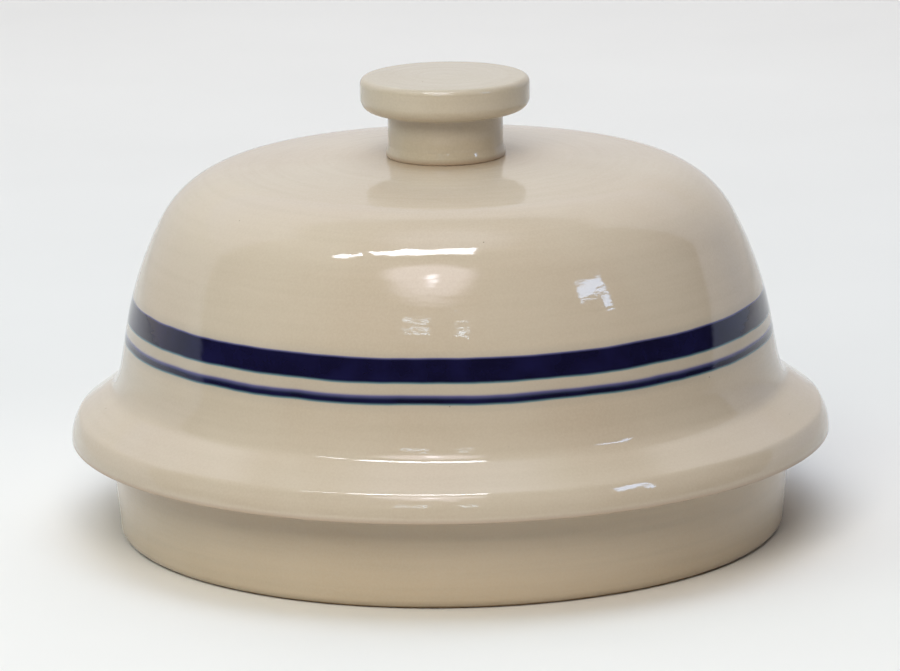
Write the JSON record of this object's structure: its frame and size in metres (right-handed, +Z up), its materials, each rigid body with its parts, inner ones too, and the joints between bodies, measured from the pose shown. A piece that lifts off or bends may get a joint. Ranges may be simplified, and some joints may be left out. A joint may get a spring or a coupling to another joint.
{
  "type": "bread cloche",
  "caption": "Round stoneware baking dish with a domed lift-off lid, overhanging rolled flange, flat knob and blue bands, for baking bread.",
  "frame": {"origin": "centre of the dish's foot ring, on the surface that it stands on", "axes": "+Z up along the axis that every piece is turned about; X and Y are free, because the object is round"},
  "size_m": [0.318, 0.318, 0.1906],
  "materials": {
    "cream_glaze": "gloss"
  },
  "bodies": {
    "dish": {"base_dish": "cream_glaze"},
    "lid": {"dome_lid": "cream_glaze", "lid_knob": "cream_glaze"}
  },
  "joints": [
    {"name": "lid_lift", "type": "slide", "parent": "dish", "child": "lid", "axis": [0, 0, 1], "range_m": [0, 0.15]}
  ]
}
